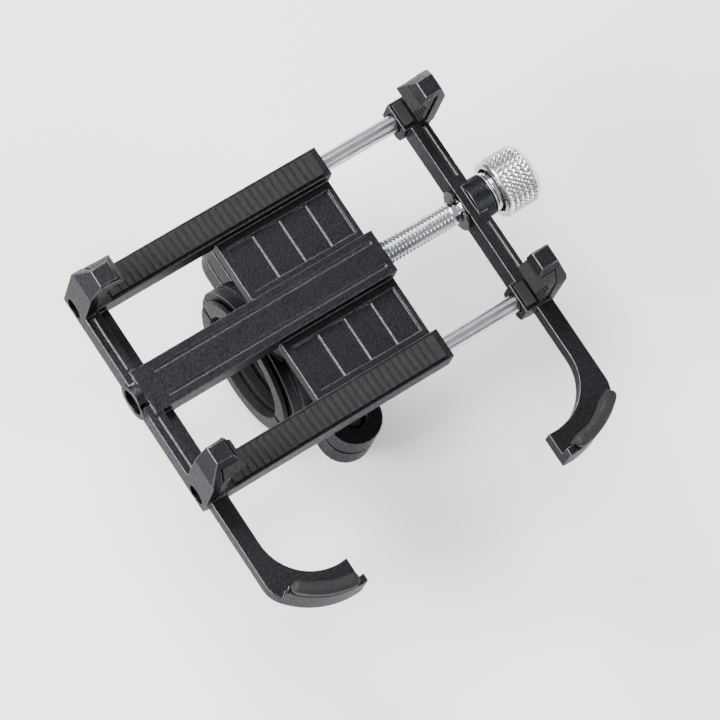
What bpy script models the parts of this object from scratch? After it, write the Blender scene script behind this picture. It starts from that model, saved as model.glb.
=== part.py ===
"""Bicycle phone mount: a handlebar clamp, a swivelling cradle and a jaw that a thumb screw draws in.

The origin is the centre of the handlebar clamp's bore. +X runs along the handlebar towards the thumb
screw, +Y leads away from the rider and +Z rises out of the phone's screen.
"""

import math

import bmesh
import bpy
from mathutils import Matrix, Vector

# Lengths are in millimetres, and MM turns them into Blender's metres. Angles are in degrees.
MM = 0.001
FIT_GAP = 0.3
MERGE_DISTANCE = 1e-6
FINE_SIDES = 48
ROUND_SIDES = 32
SMALL_SIDES = 24
PAST = 2.0

# Handlebar clamp
BAR_RADIUS = 11.1
LINER_THICKNESS = 1.6
LINER_HALF_WIDTH = 11.3
LINER_LIP = 1.0
LINER_LIP_RADIUS = 14.2
LINER_END_ANGLE = 3.0
CLAMP_BORE = BAR_RADIUS + LINER_THICKNESS + FIT_GAP
CLAMP_RADIUS = 15.8
CLAMP_HALF_WIDTH = 10.0
CLAMP_SPLIT = 0.5
EAR_HEIGHT = 6.5
EAR_HALF_WIDTH = 5.5
BOLT_Y = 20.4
BOLT_RADIUS = 2.0
BOLT_HEAD_RADIUS = 3.5
BOLT_HEAD_HEIGHT = 3.6
BOLT_SOCKET_RADIUS = 1.7
BOLT_TIP_Z = 5.6
WASHER_RADIUS = 4.4
WASHER_THICKNESS = 0.8

# Swivel
TURRET_RADIUS = 9.9
TURRET_TOP = 17.3
TURRET_ROOT = 9.0
PIVOT_HEAD_RADIUS = 4.2
PIVOT_HEAD_Z = (13.1, 14.8)
PIVOT_RADIUS = 2.3
PIVOT_TIP_Z = 22.6
PIVOT_HOLE_TOP = 22.9
PIVOT_SOCKET_RADIUS = 1.7
COUNTERBORE_TOP = 15.6
WAVE_WASHER_Z = (15.0, 15.35)
FRICTION_WASHER_Z = (17.5, 18.1)
FRICTION_WASHER_RADIUS = 9.6
BOSS_RADIUS = 10.5
BOSS_Z = (18.3, 24.0)

# Phone grips: distances from the middle of the phone, and heights
CLAW_Y = (17.4, 23.9)
CLAW_TIP_Y = (17.7, 21.2)
CLAW_TIP_X = (34.25, 37.8)
CLAW_OUTER_X = 39.5
CLAW_ROOT = 2.0
CLAW_SHOULDER_Z = 40.0
CLAW_SLOPE_Z = 38.9
CLAW_TIP_Z = 45.3
PAD_SEAT_X = 37.2
PAD_ROOF_Z = 43.4
PAD_GRIP_X = 35.5
PAD_LIP_X = 32.0
PAD_LIP_Z = 40.4
PAD_FOOT_Z = 29.6
PAD_CHAMFER = 0.8

# Walls and arms
WALL_X = (36.5, 39.5)
JAW_WALL_X = (34.0, 37.5)
WALL_TOP = 29.3
WALL_FOOT = 23.4
WALL_CHAMFER = 0.8
ARM_Z = (25.2, 28.9)
ARM_X = (35.0, 38.5)
HOOK_CENTRE = (24.3, -35.0)
HOOK_RADIUS = 16.8
HOOK_WALL = 1.6
HOOK_WALL_TOP = 33.0
HOOK_END_X = 22.8
HOOK_STEPS = 14
ARM_FILLET = 6.0
CAP_INNER_RADIUS = 14.2
CAP_TOP = 35.8
CAP_SPAN = 48.0
CAP_EDGE = 0.4
CAP_STEPS = 16

# Base frame and jaw blocks
BASE_RIGHT = 16.0
AXIS_Z = 26.5
ROD_Y = 20.8
RIB_FOOT = 22.9
ROD_RIB_Y = (17.7, 23.9)
SCREW_RIB_HALF_WIDTH = 4.6
SCREW_RIB_TOP = 29.7
WEB_LEFT = -10.0
WEB_TOP = 26.4
WINDOW_END_RIB = -34.0
RIB_CHAMFER = 1.0
BLOCK_LEFT = 32.6
BACK_PAD_Z = (29.6, 30.2)
BACK_PAD_INSET = 0.7
EYE_RADIUS = 3.75
EYE_LEFT = -40.0
JAW_EYE_RADIUS = 4.2
JAW_EYE_X = (35.7, 39.6)

# Guide rods and set screws
ROD_RADIUS = 1.75
ROD_X = (-23.0, 37.7)
ROD_END_CHAMFER = 0.4
ROD_HOLE_END = 38.0
SET_SCREW_RADIUS = 1.35
SET_SCREW_X = 35.0
SET_SCREW_Z = (22.95, 24.45)

# Thumb screw
SCREW_RADIUS = 2.4
SCREW_TIP_X = -20.0
SCREW_GAP = 0.25
GROOVE_X = (32.9, 33.75)
GROOVE_RADIUS = 1.9
CLIP_X = (33.05, 33.6)
CLIP_RADIUS = 4.2
CLIP_SWEEP = 290.0
THRUST_WASHER_X = (39.85, 40.3)
THRUST_WASHER_RADIUS = 4.3
HUB_X = (40.5, 43.1)
HUB_RADIUS = 4.0
CORE_RADIUS = 3.2
CORE_END_X = 47.5
KNOB_X = (41.35, 49.3)
KNOB_RADIUS = 6.0
KNOB_BEVEL = 1.1
KNOB_RECESS_X = 43.4
KNOB_RECESS_RADIUS = 4.5
KNOB_BORE_X = 47.8
KNOB_DISH = 0.5
KNOB_DISH_RADIUS = 3.4

# Colour, metallic and roughness of each finish
FINISHES = {
    "anodised": ((0.028, 0.030, 0.034), 0.75, 0.42),
    "rubber": ((0.012, 0.012, 0.013), 0.0, 0.75),
    "steel": ((0.50, 0.50, 0.52), 1.0, 0.32),
    "black_steel": ((0.035, 0.035, 0.037), 0.8, 0.38),
    "nickel": ((0.78, 0.78, 0.77), 1.0, 0.22),
    "chrome": ((0.90, 0.90, 0.91), 1.0, 0.08),
    "nylon": ((0.62, 0.60, 0.55), 0.0, 0.55),
}

AXES = {"X": Vector((1, 0, 0)), "Y": Vector((0, 1, 0)), "Z": Vector((0, 0, 1))}


def clear_scene():
    for thing in list(bpy.data.objects):
        bpy.data.objects.remove(thing, do_unlink=True)


def along(axis, across_1, across_2, height):
    """The point at that height along an axis. The two other coordinates are in X, Y, Z order."""
    if axis == "X":
        return Vector((height, across_1, across_2))
    if axis == "Y":
        return Vector((across_1, height, across_2))
    return Vector((across_1, across_2, height))


def arc(centre, radius, start, stop, steps):
    """Points on an arc from one angle to another, both ends included."""
    angles = [math.radians(start + (stop - start) * i / steps) for i in range(steps + 1)]
    return [(centre[0] + radius * math.cos(a), centre[1] + radius * math.sin(a)) for a in angles]


def rectangle(low, high):
    return [(low[0], low[1]), (high[0], low[1]), (high[0], high[1]), (low[0], high[1])]


def mirrored(outline, side):
    """The outline with its first coordinate turned to that side of the middle."""
    return [(side * a, b) for a, b in outline]


def to_object(name, bm):
    """Turns a mesh drawn in millimetres into an object in metres, with its faces pointing out."""
    bmesh.ops.recalc_face_normals(bm, faces=bm.faces)
    bmesh.ops.scale(bm, vec=(MM, MM, MM), verts=bm.verts)
    mesh = bpy.data.meshes.new(name)
    bm.to_mesh(mesh)
    bm.free()
    mesh.shade_smooth()
    mesh.set_sharp_from_angle(angle=math.radians(30))
    thing = bpy.data.objects.new(name, mesh)
    bpy.context.collection.objects.link(thing)
    return thing


def prism(name, outline, low, high, axis="Z"):
    """An outline in the plane across an axis, extruded from one height to another."""
    bm = bmesh.new()
    base = bm.faces.new([bm.verts.new(along(axis, a, b, low)) for a, b in outline])
    grown = bmesh.ops.extrude_face_region(bm, geom=[base])
    raised = [v for v in grown["geom"] if isinstance(v, bmesh.types.BMVert)]
    bmesh.ops.translate(bm, vec=AXES[axis] * (high - low), verts=raised)
    return to_object(name, bm)


def turned(name, profile, axis, centre=(0, 0, 0), sides=ROUND_SIDES, start=0.0, sweep=360.0):
    """A closed profile of (radius, height) points, swept round an axis.

    A profile whose first and last points lie on the axis is left open there.
    """
    bm = bmesh.new()
    across = {"X": (0, 1, 0), "Y": (0, 0, 1), "Z": (1, 0, 0)}[axis]
    spoke = Matrix.Rotation(math.radians(start), 3, AXES[axis]) @ Vector(across)
    points = [bm.verts.new(spoke * r + AXES[axis] * h + Vector(centre)) for r, h in profile]
    solid_middle = profile[0][0] == 0
    pairs = list(zip(points, points[1:] + points[:1]))
    edges = [bm.edges.new(pair) for pair in (pairs[:-1] if solid_middle else pairs)]
    bmesh.ops.spin(
        bm,
        geom=points + edges,
        cent=centre,
        axis=AXES[axis],
        angle=math.radians(sweep),
        steps=sides,
    )
    bmesh.ops.remove_doubles(bm, verts=bm.verts, dist=MERGE_DISTANCE / MM)
    if sweep < 360:
        bmesh.ops.holes_fill(bm, edges=bm.edges)
    return to_object(name, bm)


def rod(name, radius, low, high, axis, across=(0, 0), sides=SMALL_SIDES):
    """A plain cylinder between two heights along an axis."""
    outline = arc(across, radius, 0, 360, sides)[:-1]
    return prism(name, outline, low, high, axis)


def ring(name, inner, outer, low, high, axis, across=(0, 0), sides=ROUND_SIDES):
    profile = [(inner, low), (outer, low), (outer, high), (inner, high)]
    return turned(name, profile, axis, along(axis, *across, 0), sides)


def as_guide(thing):
    """Marks a solid that only shapes another one."""
    thing.hide_render = True
    thing.display_type = "WIRE"


def combine(target, operation, tools):
    for tool in tools:
        as_guide(tool)
        modifier = target.modifiers.new(tool.name, "BOOLEAN")
        modifier.operation = operation
        modifier.solver = "EXACT"
        modifier.object = tool
    return target


def unite(target, *tools):
    return combine(target, "UNION", tools)


def cut(target, *tools):
    return combine(target, "DIFFERENCE", tools)


def finished(thing, finish):
    """Gives an object a material of its own in one of the finishes."""
    colour, metallic, roughness = FINISHES[finish]
    material = bpy.data.materials.new(thing.name)
    material.use_nodes = True
    shader = material.node_tree.nodes["Principled BSDF"]
    shader.inputs["Base Color"].default_value = (*colour, 1.0)
    shader.inputs["Metallic"].default_value = metallic
    shader.inputs["Roughness"].default_value = roughness
    thing.data.materials.append(material)
    return thing


# --- Handlebar clamp -------------------------------------------------------------------------------


def ear_outline():
    """Both clamp ears in one outline, with round ends about the bolts."""
    front = arc((0, BOLT_Y), EAR_HALF_WIDTH, 0, 180, SMALL_SIDES // 2)
    rear = arc((0, -BOLT_Y), EAR_HALF_WIDTH, 180, 360, SMALL_SIDES // 2)
    return front + rear


def clamp_half(name, side):
    """Half of the clamp's ring with its ears: side 1 is above the handlebar and -1 below."""
    level = math.degrees(math.asin(CLAMP_SPLIT / CLAMP_RADIUS))
    shell = [(y, side * z) for y, z in arc((0, 0), CLAMP_RADIUS, level, 180 - level, ROUND_SIDES)]
    half = prism(name, shell, -CLAMP_HALF_WIDTH, CLAMP_HALF_WIDTH, "X")
    near, far = sorted((side * CLAMP_SPLIT, side * EAR_HEIGHT))
    unite(half, prism(name + "_ears", ear_outline(), near, far))
    return half


def clamp_bore(name):
    reach = CLAMP_HALF_WIDTH + PAST
    return rod(name, CLAMP_BORE, -reach, reach, "X", sides=FINE_SIDES)


def clamp_saddle():
    saddle = clamp_half("clamp_saddle", 1)
    unite(saddle, rod("turret", TURRET_RADIUS, TURRET_ROOT, TURRET_TOP, "Z", sides=FINE_SIDES))
    cut(
        saddle,
        clamp_bore("saddle_bore"),
        rod("screw_counterbore", PIVOT_HEAD_RADIUS + 0.4, 5.0, COUNTERBORE_TOP, "Z"),
        rod("saddle_screw_hole", PIVOT_RADIUS + 0.4, 5.0, TURRET_TOP + PAST, "Z"),
    )
    for end in (-1, 1):
        hole = BOLT_RADIUS + FIT_GAP
        cut(saddle, rod("saddle_bolt_hole", hole, -PAST, EAR_HEIGHT + PAST, "Z", (0, end * BOLT_Y)))
    return finished(saddle, "anodised")


def clamp_cap():
    cap = clamp_half("clamp_cap", -1)
    cut(cap, clamp_bore("cap_bore"))
    for end in (-1, 1):
        hole = BOLT_RADIUS + FIT_GAP
        cut(cap, rod("cap_bolt_hole", hole, -EAR_HEIGHT - PAST, PAST, "Z", (0, end * BOLT_Y)))
    return finished(cap, "anodised")


def clamp_liner(name, start):
    """Half of the rubber liner, with a lip over each end of the clamp."""
    outer = BAR_RADIUS + LINER_THICKNESS
    end = LINER_HALF_WIDTH
    inside = end - LINER_LIP
    profile = [(BAR_RADIUS, -end), (LINER_LIP_RADIUS, -end), (LINER_LIP_RADIUS, -inside)]
    profile += [(outer, -inside), (outer, inside)]
    profile += [(LINER_LIP_RADIUS, inside), (LINER_LIP_RADIUS, end), (BAR_RADIUS, end)]
    sweep = 180 - 2 * LINER_END_ANGLE
    liner = turned(name, profile, "X", sides=SMALL_SIDES, start=start + LINER_END_ANGLE, sweep=sweep)
    return finished(liner, "rubber")


def hex_socket(name, radius, low, high, across):
    return rod(name, radius, low, high, "Z", across, sides=6)


def clamp_bolt(name, end):
    """A socket head bolt that comes up through the cap's ear into the saddle's."""
    seat = -EAR_HEIGHT - 2 * FIT_GAP - WASHER_THICKNESS
    foot = seat - BOLT_HEAD_HEIGHT
    profile = [(0, foot), (BOLT_HEAD_RADIUS - 0.3, foot), (BOLT_HEAD_RADIUS, foot + 0.3)]
    profile += [(BOLT_HEAD_RADIUS, seat), (BOLT_RADIUS, seat)]
    profile += [(BOLT_RADIUS, BOLT_TIP_Z - 0.5), (BOLT_RADIUS - 0.5, BOLT_TIP_Z), (0, BOLT_TIP_Z)]
    place = (0, end * BOLT_Y)
    bolt = turned(name, profile, "Z", (*place, 0), SMALL_SIDES)
    cut(bolt, hex_socket(name + "_socket", BOLT_SOCKET_RADIUS, foot - PAST, foot + 2.0, place))
    return finished(bolt, "black_steel")


def clamp_washer(name, end):
    top = -EAR_HEIGHT - FIT_GAP
    inner = BOLT_RADIUS + FIT_GAP
    span = (top - WASHER_THICKNESS, top)
    washer = ring(name, inner, WASHER_RADIUS, *span, "Z", (0, end * BOLT_Y), SMALL_SIDES)
    return finished(washer, "steel")


# --- Swivel ----------------------------------------------------------------------------------------


def swivel_screw():
    foot, seat = PIVOT_HEAD_Z
    profile = [(0, foot), (PIVOT_HEAD_RADIUS, foot), (PIVOT_HEAD_RADIUS, seat), (PIVOT_RADIUS, seat)]
    profile += [(PIVOT_RADIUS, PIVOT_TIP_Z), (0, PIVOT_TIP_Z)]
    screw = turned("swivel_screw", profile, "Z", sides=SMALL_SIDES)
    cut(screw, hex_socket("swivel_socket", PIVOT_SOCKET_RADIUS, foot - PAST, foot + 1.2, (0, 0)))
    return finished(screw, "black_steel")


def swivel_wave_washer():
    inner = PIVOT_RADIUS + 0.4
    washer = ring("swivel_wave_washer", inner, PIVOT_HEAD_RADIUS, *WAVE_WASHER_Z, "Z", (0, 0), SMALL_SIDES)
    return finished(washer, "steel")


def swivel_friction_washer():
    inner = PIVOT_RADIUS + 0.5
    washer = ring("swivel_friction_washer", inner, FRICTION_WASHER_RADIUS, *FRICTION_WASHER_Z, "Z")
    return finished(washer, "nylon")


# --- Grips: the shapes shared by the fixed side and the sliding side ------------------------------------


def wall(name, side, span):
    """The low wall that joins a side's two claws, chamfered under its outer edge."""
    inner, outer = span
    section = [(inner, WALL_FOOT), (outer - WALL_CHAMFER, WALL_FOOT)]
    section += [(outer, WALL_FOOT + WALL_CHAMFER), (outer, WALL_TOP), (inner, WALL_TOP)]
    return prism(name, mirrored(section, side), -CLAW_Y[1], CLAW_Y[1], "Y")


def claw_post(name, side, end):
    """An upright claw whose head leans in over the phone's edge."""
    lean = (CLAW_TIP_X[0] - PAD_LIP_X) / (CLAW_TIP_Z - PAD_LIP_Z)
    roof_x = CLAW_TIP_X[0] - lean * (CLAW_TIP_Z - PAD_ROOF_Z)
    root = WALL_TOP - CLAW_ROOT
    section = [(WALL_X[0], root), (CLAW_OUTER_X, root)]
    section += [(CLAW_OUTER_X, CLAW_SHOULDER_Z), (CLAW_TIP_X[1], CLAW_TIP_Z)]
    section += [(CLAW_TIP_X[0], CLAW_TIP_Z), (roof_x, PAD_ROOF_Z), (PAD_SEAT_X, PAD_ROOF_Z)]
    section += [(PAD_SEAT_X, WALL_TOP), (WALL_X[0], WALL_TOP)]
    near, far = sorted((end * CLAW_Y[0], end * CLAW_Y[1]))
    return prism(name, mirrored(section, side), near, far, "Y")


def claw_slope(name, side, end):
    """The cutter that slopes a claw's head down on the side away from the middle."""
    drop = CLAW_TIP_Z - CLAW_SLOPE_Z
    run = CLAW_Y[1] - CLAW_TIP_Y[1]
    section = [(CLAW_TIP_Y[1] - run, CLAW_TIP_Z + drop), (CLAW_Y[1] + run, CLAW_SLOPE_Z - drop)]
    section += [(CLAW_Y[1] + run, CLAW_TIP_Z + drop)]
    return prism(name + "_slope", mirrored(section, end), *sorted((side * 30.0, side * 45.0)), "X")


def claw_edge(name, side, end):
    """The cutter that breaks the edge of a claw's head on the side towards the middle."""
    step = CLAW_TIP_Y[0] - CLAW_Y[0]
    section = [(CLAW_Y[0] - step, CLAW_TIP_Z - 2 * step), (CLAW_TIP_Y[0] + step, CLAW_TIP_Z + step)]
    section += [(CLAW_Y[0] - step, CLAW_TIP_Z + step)]
    return prism(name + "_edge", mirrored(section, end), *sorted((side * 30.0, side * 45.0)), "X")


def outer_fillet():
    """The centre of the fillet outside the right arm's bend, and the angle where it meets the hook."""
    centre_x, centre_y = HOOK_CENTRE
    fillet_x = ARM_X[1] - ARM_FILLET
    offset = HOOK_RADIUS - ARM_FILLET
    fillet_y = centre_y - math.sqrt(offset**2 - (fillet_x - centre_x) ** 2)
    meet = math.degrees(math.atan2(fillet_y - centre_y, fillet_x - centre_x))
    return (fillet_x, fillet_y), meet


def hook_arc(radius, backwards=False):
    """Points along the right hook at a radius, from the arm's fillet to the hook's end."""
    start = outer_fillet()[1]
    stop = -90 - math.degrees(math.asin((HOOK_CENTRE[0] - HOOK_END_X) / radius))
    points = arc(HOOK_CENTRE, radius, start, stop, HOOK_STEPS)
    return points[::-1] if backwards else points


def arm_outline():
    """The right arm from above: straight beside the phone, then curling under its bottom corner."""
    fillet, meet = outer_fillet()
    inner = ARM_X[0] - HOOK_CENTRE[0]
    top = -CLAW_Y[1] + 3.0
    outline = [(ARM_X[0], top), (ARM_X[1], top)]
    outline += arc(fillet, ARM_FILLET, 0, meet, 8)[:-1]
    outline += hook_arc(HOOK_RADIUS)
    outline += hook_arc(inner, backwards=True)
    return outline + arc(HOOK_CENTRE, inner, meet, 0, 10)[1:]


def hook_wall_outline():
    """The upright wall round the outside of the right hook, from above."""
    return hook_arc(HOOK_RADIUS) + hook_arc(HOOK_RADIUS - HOOK_WALL, backwards=True)


def add_grips(frame, side):
    """Adds a side's claws, arm and hook to its frame."""
    label = frame.name
    arm = prism(label + "_arm", mirrored(arm_outline(), side), *ARM_Z)
    upright = prism(label + "_hook", mirrored(hook_wall_outline(), side), ARM_Z[0] + 0.5, HOOK_WALL_TOP)
    unite(frame, arm, upright)
    for end, place in ((1, "_upper"), (-1, "_lower")):
        unite(frame, claw_post(label + place, side, end))
        cut(frame, claw_slope(label + place, side, end), claw_edge(label + place, side, end))


def claw_pad(name, side, end):
    """The rubber pad inside a claw, with a lip that hooks over the phone's edge."""
    lean = (CLAW_TIP_X[0] - PAD_LIP_X) / (CLAW_TIP_Z - PAD_LIP_Z)
    top = PAD_ROOF_Z - FIT_GAP
    top_x = PAD_LIP_X + lean * (top - PAD_LIP_Z)
    back = PAD_SEAT_X - FIT_GAP
    section = [(back, PAD_FOOT_Z), (PAD_GRIP_X + PAD_CHAMFER, PAD_FOOT_Z)]
    section += [(PAD_GRIP_X, PAD_FOOT_Z + PAD_CHAMFER), (PAD_GRIP_X, PAD_LIP_Z - PAD_CHAMFER)]
    section += [(PAD_GRIP_X - 0.8, PAD_LIP_Z - 0.2), (PAD_LIP_X + 0.4, PAD_LIP_Z - 0.2)]
    section += [(PAD_LIP_X, PAD_LIP_Z + 0.2), (top_x, top), (back, top)]
    near, far = sorted((end * (CLAW_Y[0] + FIT_GAP), end * (CLAW_Y[1] - FIT_GAP)))
    pad = prism(name, mirrored(section, side), near, far, "Y")
    cut(pad, claw_slope(name, side, end))
    return finished(pad, "rubber")


def hook_cap(name, side):
    """The rubber cap that lines a hook and rounds off its top."""
    skirt = HOOK_RADIUS - HOOK_WALL - FIT_GAP
    seat = HOOK_WALL_TOP + FIT_GAP
    profile = [(CAP_INNER_RADIUS, PAD_FOOT_Z), (skirt, PAD_FOOT_Z), (skirt, seat), (HOOK_RADIUS, seat)]
    profile += [(HOOK_RADIUS, CAP_TOP - CAP_EDGE), (HOOK_RADIUS - CAP_EDGE, CAP_TOP)]
    profile += [(CAP_INNER_RADIUS + CAP_EDGE, CAP_TOP), (CAP_INNER_RADIUS, CAP_TOP - CAP_EDGE)]
    centre = (side * HOOK_CENTRE[0], HOOK_CENTRE[1], 0)
    start = -90 if side > 0 else -90 - CAP_SPAN
    cap = turned(name, profile, "Z", centre, CAP_STEPS, start, CAP_SPAN)
    return finished(cap, "rubber")


# --- Cradle ------------------------------------------------------------------------------------------


def rib(name, y_span, foot, top, left, right):
    """A straight rib along X, chamfered along its underside."""
    low, high = y_span
    section = [(low + RIB_CHAMFER, foot), (high - RIB_CHAMFER, foot), (high, foot + RIB_CHAMFER)]
    section += [(high, top), (low, top), (low, foot + RIB_CHAMFER)]
    return prism(name, section, left, right, "X")


def base_frame():
    """The fixed half of the cradle: ribs that carry the rods and the screw, and the left grips."""
    frame = wall("base_frame", -1, WALL_X)
    half = SCREW_RIB_HALF_WIDTH
    left = -CLAW_OUTER_X + 1.5
    unite(
        frame,
        rib("upper_rib", ROD_RIB_Y, RIB_FOOT, WALL_TOP, left, BASE_RIGHT),
        rib("lower_rib", (-ROD_RIB_Y[1], -ROD_RIB_Y[0]), RIB_FOOT, WALL_TOP, left, BASE_RIGHT),
        rib("screw_rib", (-half, half), RIB_FOOT - 0.5, SCREW_RIB_TOP, left, BASE_RIGHT),
        prism("web", rectangle((WEB_LEFT, -20.0), (BASE_RIGHT - 0.5, 20.0)), RIB_FOOT + 0.2, WEB_TOP),
        prism("left_web", rectangle((left, -20.0), (WINDOW_END_RIB, 20.0)), WALL_FOOT + 0.3, WEB_TOP),
        rod("boss", BOSS_RADIUS, *BOSS_Z, "Z", sides=FINE_SIDES),
        rod("screw_eye", EYE_RADIUS, EYE_LEFT, left, "X", (0, AXIS_Z)),
    )
    add_grips(frame, -1)
    reach = (-CLAW_OUTER_X - PAST, BASE_RIGHT + PAST)
    cut(
        frame,
        rod("upper_rod_bore", ROD_RADIUS + FIT_GAP, *reach, "X", (ROD_Y, AXIS_Z)),
        rod("lower_rod_bore", ROD_RADIUS + FIT_GAP, *reach, "X", (-ROD_Y, AXIS_Z)),
        rod("screw_bore", SCREW_RADIUS + SCREW_GAP, *reach, "X", (0, AXIS_Z)),
        rod("swivel_thread", PIVOT_RADIUS + FIT_GAP, BOSS_Z[0] - PAST, PIVOT_HOLE_TOP, "Z"),
    )
    return finished(frame, "anodised")


def back_pad(name, end):
    """A thin rubber strip along a rod rib, which the phone's back rests on."""
    low, high = sorted((end * (ROD_RIB_Y[0] + BACK_PAD_INSET), end * (ROD_RIB_Y[1] - BACK_PAD_INSET)))
    outline = rectangle((-33.0, low), (BASE_RIGHT - 1.5, high))
    return finished(prism(name, outline, *BACK_PAD_Z), "rubber")


# --- Sliding jaw --------------------------------------------------------------------------------------


def jaw_frame():
    """The sliding half: blocks that hold the guide rods, the screw's eye and the right grips."""
    frame = wall("jaw_frame", 1, JAW_WALL_X)
    unite(
        frame,
        rib("upper_block", ROD_RIB_Y, RIB_FOOT, WALL_TOP, BLOCK_LEFT, CLAW_OUTER_X),
        rib("lower_block", (-ROD_RIB_Y[1], -ROD_RIB_Y[0]), RIB_FOOT, WALL_TOP, BLOCK_LEFT, CLAW_OUTER_X),
        rod("jaw_eye", JAW_EYE_RADIUS, *JAW_EYE_X, "X", (0, AXIS_Z)),
    )
    add_grips(frame, 1)
    cut(frame, rod("jaw_screw_hole", SCREW_RADIUS + SCREW_GAP, 30.0, 45.0, "X", (0, AXIS_Z)))
    for end, place in ((1, "upper"), (-1, "lower")):
        y = end * ROD_Y
        cut(
            frame,
            rod(place + "_rod_hole", ROD_RADIUS + FIT_GAP, 30.0, ROD_HOLE_END, "X", (y, AXIS_Z)),
            rod(place + "_set_hole", SET_SCREW_RADIUS + FIT_GAP, 20.0, AXIS_Z, "Z", (SET_SCREW_X, y)),
        )
    return finished(frame, "anodised")


def jaw_pad(name, end):
    low, high = sorted((end * (ROD_RIB_Y[0] + BACK_PAD_INSET), end * (ROD_RIB_Y[1] - BACK_PAD_INSET)))
    outline = rectangle((BLOCK_LEFT + 0.4, low), (PAD_GRIP_X - FIT_GAP, high))
    return finished(prism(name, outline, *BACK_PAD_Z), "rubber")


def guide_rod(name, end):
    left, right = ROD_X
    bevel = ROD_END_CHAMFER
    profile = [(0, left), (ROD_RADIUS - bevel, left), (ROD_RADIUS, left + bevel)]
    profile += [(ROD_RADIUS, right - bevel), (ROD_RADIUS - bevel, right), (0, right)]
    return finished(turned(name, profile, "X", (0, end * ROD_Y, AXIS_Z), SMALL_SIDES), "steel")


def rod_set_screw(name, end):
    place = (SET_SCREW_X, end * ROD_Y)
    foot, top = SET_SCREW_Z
    screw = rod(name, SET_SCREW_RADIUS, foot, top, "Z", place, 16)
    cut(screw, hex_socket(name + "_socket", 0.75, foot - PAST, foot + 0.9, place))
    return finished(screw, "black_steel")


# --- Thumb screw --------------------------------------------------------------------------------------


def thumb_screw():
    """The screw's threaded shank, the groove for its clip, its hub and the core inside the knob."""
    profile = [(0, SCREW_TIP_X), (SCREW_RADIUS - 0.6, SCREW_TIP_X), (SCREW_RADIUS, SCREW_TIP_X + 0.6)]
    profile += [(SCREW_RADIUS, GROOVE_X[0]), (GROOVE_RADIUS, GROOVE_X[0]), (GROOVE_RADIUS, GROOVE_X[1])]
    profile += [(SCREW_RADIUS, GROOVE_X[1]), (SCREW_RADIUS, HUB_X[0]), (HUB_RADIUS, HUB_X[0])]
    profile += [(HUB_RADIUS, HUB_X[1]), (CORE_RADIUS, HUB_X[1]), (CORE_RADIUS, CORE_END_X), (0, CORE_END_X)]
    screw = turned("thumb_screw", profile, "X", (0, 0, AXIS_Z), ROUND_SIDES)
    return finished(screw, "chrome")


def knurled_knob():
    left, right = KNOB_X
    bore = CORE_RADIUS + FIT_GAP
    profile = [(0, KNOB_BORE_X), (bore, KNOB_BORE_X), (bore, KNOB_RECESS_X)]
    profile += [(KNOB_RECESS_RADIUS, KNOB_RECESS_X), (KNOB_RECESS_RADIUS, left)]
    profile += [(KNOB_RADIUS - 0.3, left), (KNOB_RADIUS, left + 0.3)]
    profile += [(KNOB_RADIUS, right - KNOB_BEVEL), (KNOB_RADIUS - KNOB_BEVEL, right)]
    profile += [(KNOB_DISH_RADIUS, right), (0, right - KNOB_DISH)]
    knob = turned("knurled_knob", profile, "X", (0, 0, AXIS_Z), FINE_SIDES)
    return finished(knob, "nickel")


def thrust_washer():
    inner = SCREW_RADIUS + FIT_GAP
    place = (0, AXIS_Z)
    washer = ring("thrust_washer", inner, THRUST_WASHER_RADIUS, *THRUST_WASHER_X, "X", place, SMALL_SIDES)
    return finished(washer, "steel")


def retaining_clip():
    """An open ring in the screw's groove, which keeps the screw in the jaw."""
    low, high = CLIP_X
    inner = GROOVE_RADIUS + FIT_GAP
    profile = [(inner, low), (CLIP_RADIUS, low), (CLIP_RADIUS, high), (inner, high)]
    start = 90 + (360 - CLIP_SWEEP) / 2
    clip = turned("retaining_clip", profile, "X", (0, 0, AXIS_Z), SMALL_SIDES, start, CLIP_SWEEP)
    return finished(clip, "steel")


# --- Assembly -----------------------------------------------------------------------------------------


def pivot(name, place, parent=None):
    """An empty on a joint's axis, for the moving pieces to hang on."""
    empty = bpy.data.objects.new(name, None)
    empty.location = Vector(place) * MM
    bpy.context.collection.objects.link(empty)
    if parent:
        empty.parent = parent
        empty.location -= parent.location
    return empty


def hang(pieces, empty, place):
    for piece in pieces:
        piece.parent = empty
        piece.matrix_parent_inverse = Matrix.Translation(Vector(place) * -MM)


def build():
    clear_scene()
    clamp_saddle()
    clamp_cap()
    clamp_liner("clamp_liner_upper", 0)
    clamp_liner("clamp_liner_lower", 180)
    swivel_friction_washer()
    for end, place in ((1, "front"), (-1, "rear")):
        clamp_bolt("clamp_bolt_" + place, end)
        clamp_washer("clamp_washer_" + place, end)

    cradle = [base_frame(), swivel_screw(), swivel_wave_washer(), hook_cap("hook_cap_left", -1)]
    jaw = [jaw_frame(), hook_cap("hook_cap_right", 1)]
    for end, place in ((1, "upper"), (-1, "lower")):
        cradle += [claw_pad("claw_pad_left_" + place, -1, end), back_pad("back_pad_" + place, end)]
        jaw += [claw_pad("claw_pad_right_" + place, 1, end), jaw_pad("jaw_pad_" + place, end)]
        jaw += [guide_rod("guide_rod_" + place, end), rod_set_screw("rod_set_screw_" + place, end)]
    knob = [thumb_screw(), knurled_knob(), thrust_washer(), retaining_clip()]

    swivel_place = (0, 0, BOSS_Z[0])
    screw_place = (HUB_X[0], 0, AXIS_Z)
    swivel = pivot("swivel_axis", swivel_place)
    slide = pivot("jaw_slide_axis", swivel_place, swivel)
    screw = pivot("thumb_screw_axis", screw_place)
    hang(cradle, swivel, swivel_place)
    hang(jaw, slide, swivel_place)
    hang(knob, screw, screw_place)


build()
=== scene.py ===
"""Studio scene of a bicycle phone mount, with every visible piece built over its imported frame."""

import math

import bmesh
import bpy
from mathutils import Matrix, Vector


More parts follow.
